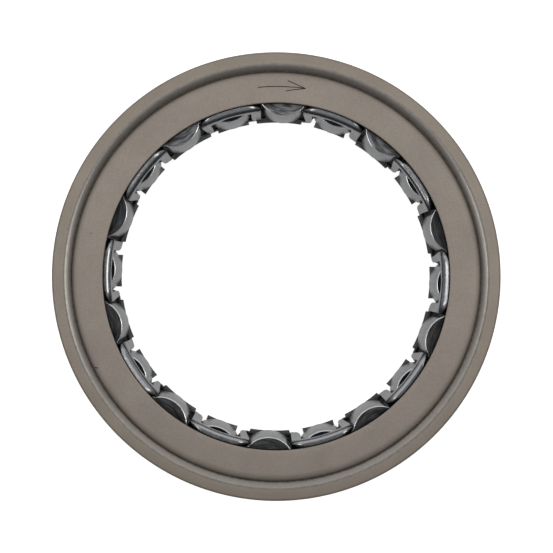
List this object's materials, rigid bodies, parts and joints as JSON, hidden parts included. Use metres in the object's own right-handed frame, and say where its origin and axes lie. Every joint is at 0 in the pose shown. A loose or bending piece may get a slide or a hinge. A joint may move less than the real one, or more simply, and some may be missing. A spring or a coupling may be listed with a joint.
{
  "type": "sprag clutch",
  "caption": "One-way sprag clutch: a broad steel race with a side plate rolled into each face, and spring-loaded sprags held in two sheet cages round an open bore.",
  "frame": {"origin": "centre of the rear end face, on the clutch's axis", "axes": "+Z along the axis, out of the marked front face; +Y towards the arrow mark; +X to the right of it, seen from the front"},
  "size_m": [0.09, 0.09, 0.025],
  "materials": {
    "blasted_race": "matt, shot-blasted bearing steel with a warm grey cast",
    "blasted_plate": "matt, shot-blasted pressed steel plate",
    "cage_steel": "pressed cold-rolled strip, satin",
    "bright_strip": "bright rolled strip, smooth and glossy at the bends",
    "spring_steel": "hard rolled spring strip",
    "sprag_steel": "ground cams, sawn end faces, lightly oiled"
  },
  "bodies": {
    "outer_ring": {"outer_race": "blasted_race", "front_side_plate": "blasted_plate", "rear_side_plate": "blasted_plate"},
    "cage": {"outer_cage": "cage_steel", "ribbon_spring": "spring_steel"},
    "inner_cage": {"inner_cage": "bright_strip"},
    "sprag_01": {"sprag_01": "sprag_steel"},
    "sprag_02": {"sprag_02": "sprag_steel"},
    "sprag_03": {"sprag_03": "sprag_steel"},
    "sprag_04": {"sprag_04": "sprag_steel"},
    "sprag_05": {"sprag_05": "sprag_steel"},
    "sprag_06": {"sprag_06": "sprag_steel"},
    "sprag_07": {"sprag_07": "sprag_steel"},
    "sprag_08": {"sprag_08": "sprag_steel"},
    "sprag_09": {"sprag_09": "sprag_steel"},
    "sprag_10": {"sprag_10": "sprag_steel"},
    "sprag_11": {"sprag_11": "sprag_steel"},
    "sprag_12": {"sprag_12": "sprag_steel"},
    "sprag_13": {"sprag_13": "sprag_steel"},
    "sprag_14": {"sprag_14": "sprag_steel"},
    "sprag_15": {"sprag_15": "sprag_steel"},
    "sprag_16": {"sprag_16": "sprag_steel"},
    "sprag_17": {"sprag_17": "sprag_steel"},
    "sprag_18": {"sprag_18": "sprag_steel"},
    "sprag_19": {"sprag_19": "sprag_steel"},
    "sprag_20": {"sprag_20": "sprag_steel"}
  },
  "joints": [
    {"name": "cage_spin", "type": "hinge", "parent": "outer_ring", "child": "cage", "pos_m": [0, 0, 0.0125], "axis": [0, 0, 1], "continuous": true},
    {"name": "sprag_01_tilt", "type": "hinge", "parent": "cage", "child": "sprag_01", "pos_m": [0.00074, 0.03496, 0.0125], "axis": [0, 0, 1], "range_deg": [0, 8], "stiffness_Nm_per_rad": 0.01, "springref_deg": -5.73},
    {"name": "sprag_02_tilt", "type": "hinge", "parent": "cage", "child": "sprag_02", "pos_m": [0.01151, 0.03302, 0.0125], "axis": [0, 0, 1], "range_deg": [0, 8], "stiffness_Nm_per_rad": 0.01, "springref_deg": -5.73},
    {"name": "sprag_03_tilt", "type": "hinge", "parent": "cage", "child": "sprag_03", "pos_m": [0.02115, 0.02784, 0.0125], "axis": [0, 0, 1], "range_deg": [0, 8], "stiffness_Nm_per_rad": 0.01, "springref_deg": -5.73},
    {"name": "sprag_04_tilt", "type": "hinge", "parent": "cage", "child": "sprag_04", "pos_m": [0.02872, 0.01995, 0.0125], "axis": [0, 0, 1], "range_deg": [0, 8], "stiffness_Nm_per_rad": 0.01, "springref_deg": -5.73},
    {"name": "sprag_05_tilt", "type": "hinge", "parent": "cage", "child": "sprag_05", "pos_m": [0.03348, 0.0101, 0.0125], "axis": [0, 0, 1], "range_deg": [0, 8], "stiffness_Nm_per_rad": 0.01, "springref_deg": -5.73},
    {"name": "sprag_06_tilt", "type": "hinge", "parent": "cage", "child": "sprag_06", "pos_m": [0.03496, -0.00074, 0.0125], "axis": [0, 0, 1], "range_deg": [0, 8], "stiffness_Nm_per_rad": 0.01, "springref_deg": -5.73},
    {"name": "sprag_07_tilt", "type": "hinge", "parent": "cage", "child": "sprag_07", "pos_m": [0.03302, -0.01151, 0.0125], "axis": [0, 0, 1], "range_deg": [0, 8], "stiffness_Nm_per_rad": 0.01, "springref_deg": -5.73},
    {"name": "sprag_08_tilt", "type": "hinge", "parent": "cage", "child": "sprag_08", "pos_m": [0.02784, -0.02115, 0.0125], "axis": [0, 0, 1], "range_deg": [0, 8], "stiffness_Nm_per_rad": 0.01, "springref_deg": -5.73},
    {"name": "sprag_09_tilt", "type": "hinge", "parent": "cage", "child": "sprag_09", "pos_m": [0.01995, -0.02872, 0.0125], "axis": [0, 0, 1], "range_deg": [0, 8], "stiffness_Nm_per_rad": 0.01, "springref_deg": -5.73},
    {"name": "sprag_10_tilt", "type": "hinge", "parent": "cage", "child": "sprag_10", "pos_m": [0.0101, -0.03348, 0.0125], "axis": [0, 0, 1], "range_deg": [0, 8], "stiffness_Nm_per_rad": 0.01, "springref_deg": -5.73},
    {"name": "sprag_11_tilt", "type": "hinge", "parent": "cage", "child": "sprag_11", "pos_m": [-0.00074, -0.03496, 0.0125], "axis": [0, 0, 1], "range_deg": [0, 8], "stiffness_Nm_per_rad": 0.01, "springref_deg": -5.73},
    {"name": "sprag_12_tilt", "type": "hinge", "parent": "cage", "child": "sprag_12", "pos_m": [-0.01151, -0.03302, 0.0125], "axis": [0, 0, 1], "range_deg": [0, 8], "stiffness_Nm_per_rad": 0.01, "springref_deg": -5.73},
    {"name": "sprag_13_tilt", "type": "hinge", "parent": "cage", "child": "sprag_13", "pos_m": [-0.02115, -0.02784, 0.0125], "axis": [0, 0, 1], "range_deg": [0, 8], "stiffness_Nm_per_rad": 0.01, "springref_deg": -5.73},
    {"name": "sprag_14_tilt", "type": "hinge", "parent": "cage", "child": "sprag_14", "pos_m": [-0.02872, -0.01995, 0.0125], "axis": [0, 0, 1], "range_deg": [0, 8], "stiffness_Nm_per_rad": 0.01, "springref_deg": -5.73},
    {"name": "sprag_15_tilt", "type": "hinge", "parent": "cage", "child": "sprag_15", "pos_m": [-0.03348, -0.0101, 0.0125], "axis": [0, 0, 1], "range_deg": [0, 8], "stiffness_Nm_per_rad": 0.01, "springref_deg": -5.73},
    {"name": "sprag_16_tilt", "type": "hinge", "parent": "cage", "child": "sprag_16", "pos_m": [-0.03496, 0.00074, 0.0125], "axis": [0, 0, 1], "range_deg": [0, 8], "stiffness_Nm_per_rad": 0.01, "springref_deg": -5.73},
    {"name": "sprag_17_tilt", "type": "hinge", "parent": "cage", "child": "sprag_17", "pos_m": [-0.03302, 0.01151, 0.0125], "axis": [0, 0, 1], "range_deg": [0, 8], "stiffness_Nm_per_rad": 0.01, "springref_deg": -5.73},
    {"name": "sprag_18_tilt", "type": "hinge", "parent": "cage", "child": "sprag_18", "pos_m": [-0.02784, 0.02115, 0.0125], "axis": [0, 0, 1], "range_deg": [0, 8], "stiffness_Nm_per_rad": 0.01, "springref_deg": -5.73},
    {"name": "sprag_19_tilt", "type": "hinge", "parent": "cage", "child": "sprag_19", "pos_m": [-0.01995, 0.02872, 0.0125], "axis": [0, 0, 1], "range_deg": [0, 8], "stiffness_Nm_per_rad": 0.01, "springref_deg": -5.73},
    {"name": "sprag_20_tilt", "type": "hinge", "parent": "cage", "child": "sprag_20", "pos_m": [-0.0101, 0.03348, 0.0125], "axis": [0, 0, 1], "range_deg": [0, 8], "stiffness_Nm_per_rad": 0.01, "springref_deg": -5.73},
    {"name": "inner_cage_shift", "type": "hinge", "parent": "cage", "child": "inner_cage", "pos_m": [0, 0, 0.0125], "axis": [0, 0, 1], "range_deg": [0, 0.8]}
  ],
  "couplings": [
    {"joint": "sprag_02_tilt", "follows": "sprag_01_tilt", "ratio": 1},
    {"joint": "sprag_03_tilt", "follows": "sprag_01_tilt", "ratio": 1},
    {"joint": "sprag_04_tilt", "follows": "sprag_01_tilt", "ratio": 1},
    {"joint": "sprag_05_tilt", "follows": "sprag_01_tilt", "ratio": 1},
    {"joint": "sprag_06_tilt", "follows": "sprag_01_tilt", "ratio": 1},
    {"joint": "sprag_07_tilt", "follows": "sprag_01_tilt", "ratio": 1},
    {"joint": "sprag_08_tilt", "follows": "sprag_01_tilt", "ratio": 1},
    {"joint": "sprag_09_tilt", "follows": "sprag_01_tilt", "ratio": 1},
    {"joint": "sprag_10_tilt", "follows": "sprag_01_tilt", "ratio": 1},
    {"joint": "sprag_11_tilt", "follows": "sprag_01_tilt", "ratio": 1},
    {"joint": "sprag_12_tilt", "follows": "sprag_01_tilt", "ratio": 1},
    {"joint": "sprag_13_tilt", "follows": "sprag_01_tilt", "ratio": 1},
    {"joint": "sprag_14_tilt", "follows": "sprag_01_tilt", "ratio": 1},
    {"joint": "sprag_15_tilt", "follows": "sprag_01_tilt", "ratio": 1},
    {"joint": "sprag_16_tilt", "follows": "sprag_01_tilt", "ratio": 1},
    {"joint": "sprag_17_tilt", "follows": "sprag_01_tilt", "ratio": 1},
    {"joint": "sprag_18_tilt", "follows": "sprag_01_tilt", "ratio": 1},
    {"joint": "sprag_19_tilt", "follows": "sprag_01_tilt", "ratio": 1},
    {"joint": "sprag_20_tilt", "follows": "sprag_01_tilt", "ratio": 1},
    {"joint": "inner_cage_shift", "follows": "sprag_01_tilt", "ratio": 0.0954}
  ]
}
